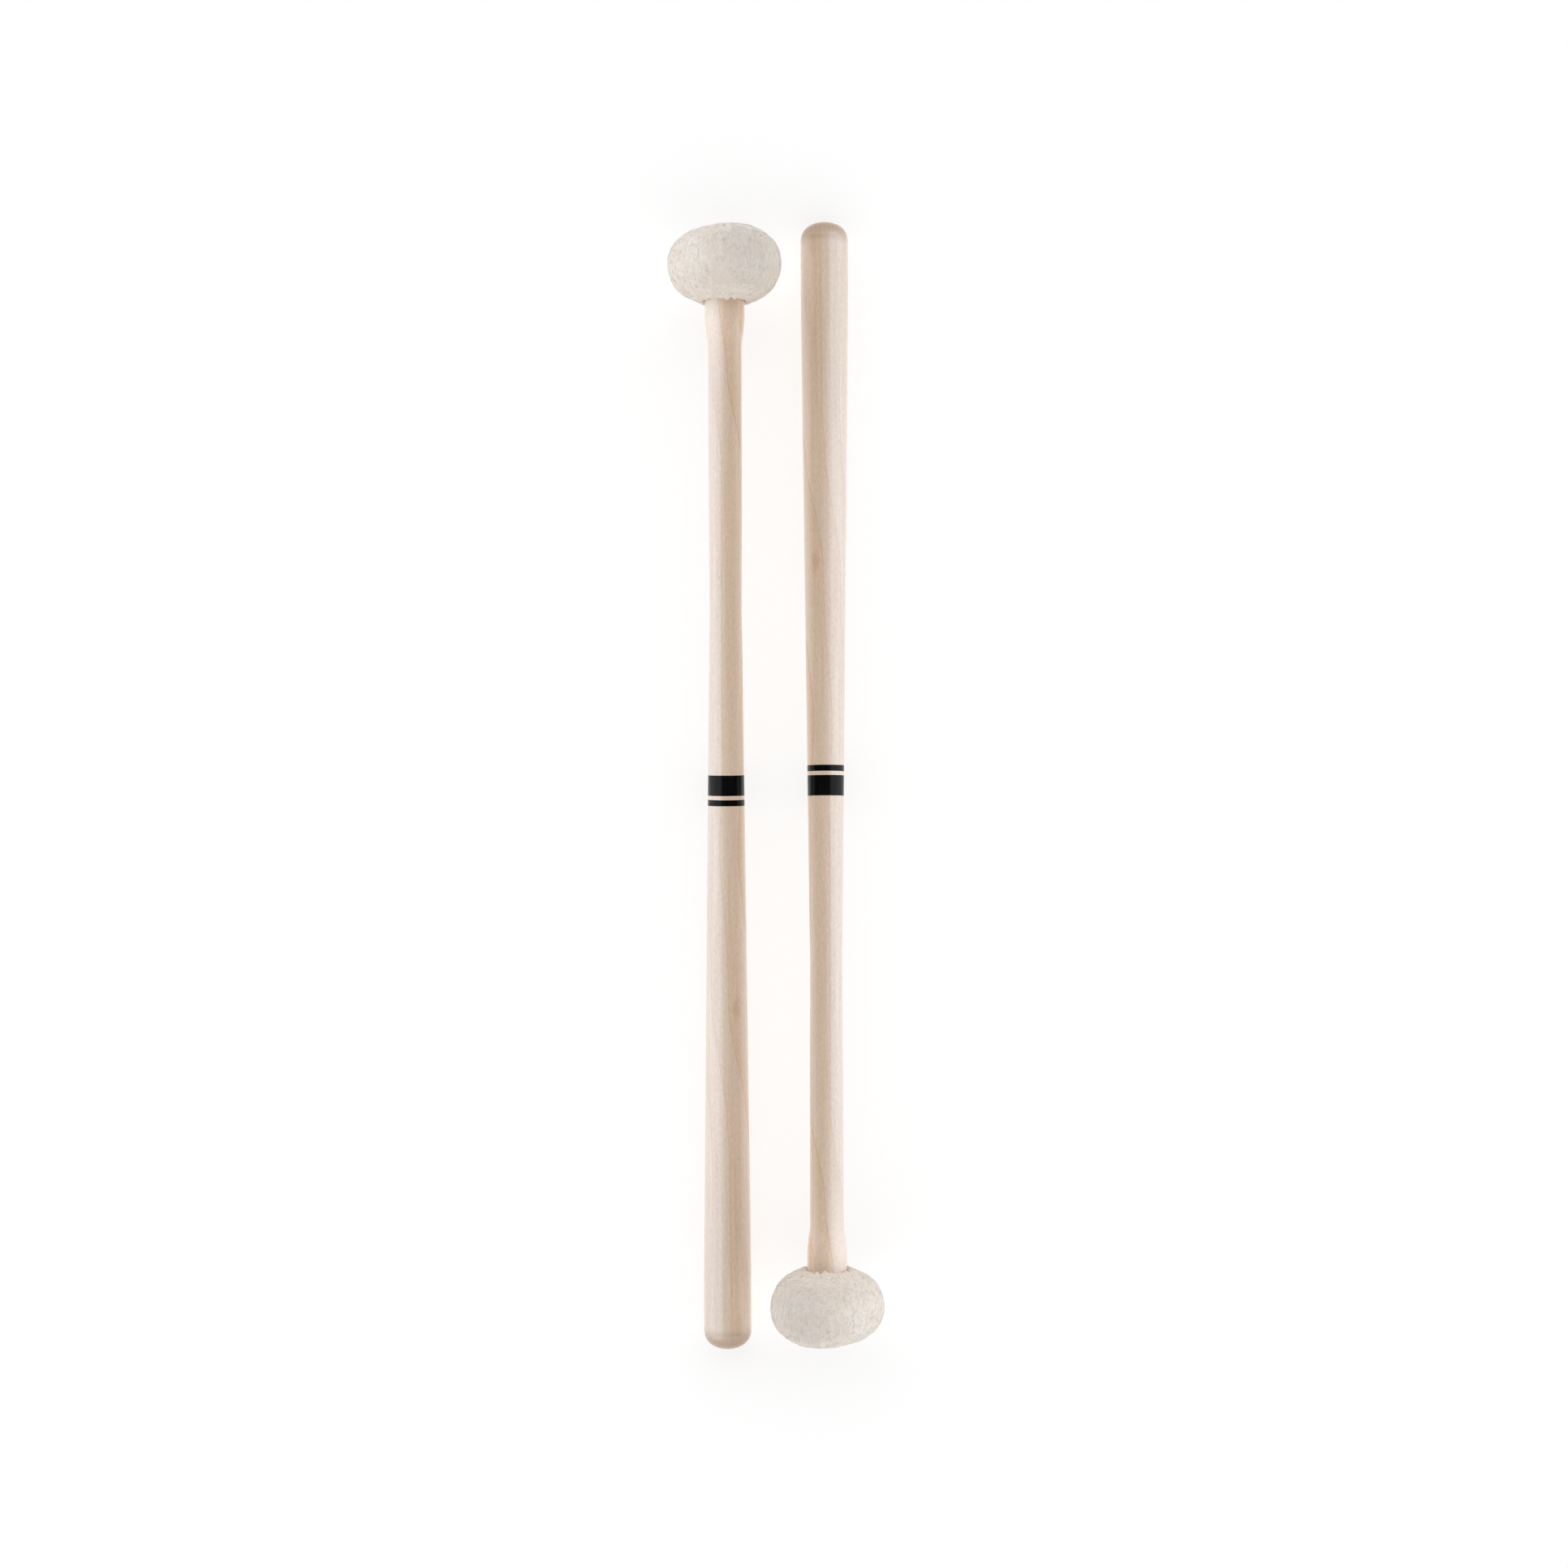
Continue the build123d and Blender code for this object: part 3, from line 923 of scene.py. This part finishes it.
def world():
    """A white room, bright beyond the mallets' two ends and dim overhead."""
    made = bpy.data.worlds.new("studio")
    made.use_nodes = True
    tree = made.node_tree
    background = tree.nodes["Background"]
    background.inputs["Color"].default_value = (1.0, 1.0, 1.0, 1.0)
    where = tree.nodes.new("ShaderNodeTexCoord")
    split = tree.nodes.new("ShaderNodeSeparateXYZ")
    tree.links.new(where.outputs["Generated"], split.inputs[0])

    def ramp(value, span, outcome):
        """Smooth from the first outcome to the second as the value crosses the span."""
        node = tree.nodes.new("ShaderNodeMapRange")
        node.interpolation_type = "SMOOTHSTEP"
        tree.links.new(value, node.inputs[0])
        for socket, number in zip(node.inputs[1:5], (*span, *outcome)):
            socket.default_value = number
        return node.outputs[0]

    def mix(factor, glow, number):
        """From a linked glow to a plain number."""
        node = tree.nodes.new("ShaderNodeMix")
        tree.links.new(factor, node.inputs[0])
        tree.links.new(glow, node.inputs[2])
        node.inputs[3].default_value = number
        return node.outputs[0]

    away = tree.nodes.new("ShaderNodeMath")
    away.operation = "ABSOLUTE"
    tree.links.new(split.outputs[1], away.inputs[0])
    ends = ramp(away.outputs[0], END_SPAN, (OVERHEAD_GLOW, END_GLOW))
    low = ramp(split.outputs[2], HORIZON_SPAN, (0.0, 1.0))
    room = mix(low, ends, HORIZON_GLOW)
    seen = tree.nodes.new("ShaderNodeLightPath").outputs["Is Camera Ray"]
    tree.links.new(mix(seen, room, WALL_GLOW), background.inputs["Strength"])
    bpy.context.scene.world = made


def light_groups():
    """For each mallet, the collection of pieces that its own softboxes reach."""
    groups = {}
    for mallet in mallets.values():
        group = bpy.data.collections.new(f"lit_{mallet.side}")
        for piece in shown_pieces():
            if body_of(piece) == [mallet.body]:
                group.objects.link(piece)
        groups[mallet.side] = group
    return groups


LIGHT_TARGET_HEIGHT = 0.008
KEY_TILT = 57.0
KEY_DISTANCE = 0.60
KEY_SIZE = (0.64, 1.4)
KEY_RADIANCE = 0.72
KEY_COLOUR = (0.96, 1.0, 1.05)
EDGE_TILT = 106.0           # past the horizontal: this softbox shines up from under the floor
EDGE_DISTANCE = 0.70
EDGE_SIZE = (0.16, 1.4)
EDGE_RADIANCE = 2.2
EDGE_COLOUR = (0.98, 1.0, 1.03)


def lights(groups):
    """Each mallet has a softbox on its outer side, and on its inner side a glow from the table."""
    key = (KEY_DISTANCE, KEY_SIZE, KEY_RADIANCE, KEY_COLOUR)
    edge = (EDGE_DISTANCE, EDGE_SIZE, EDGE_RADIANCE, EDGE_COLOUR)
    for side, outward in (("left", -1), ("right", 1)):
        target = (mallets[side].matrix.translation.x, 0.0, LIGHT_TARGET_HEIGHT)
        softbox(f"key_{side}", outward * KEY_TILT, target, *key, groups[side])
        softbox(f"edge_{side}", -outward * EDGE_TILT, target, *edge, groups[side])


# --------------------------------------------------------------------- assembly
world()
floor()
camera()
for mallet in mallets.values():
    finish_nodes(mallet)
    shape = FeltShape(HeadOutline(mallet), COVER_SEED)
    felt_cover(mallet, shape)
    head_fuzz(mallet, shape)
lights(light_groups())

bpy.context.scene.view_settings.view_transform = "Standard"
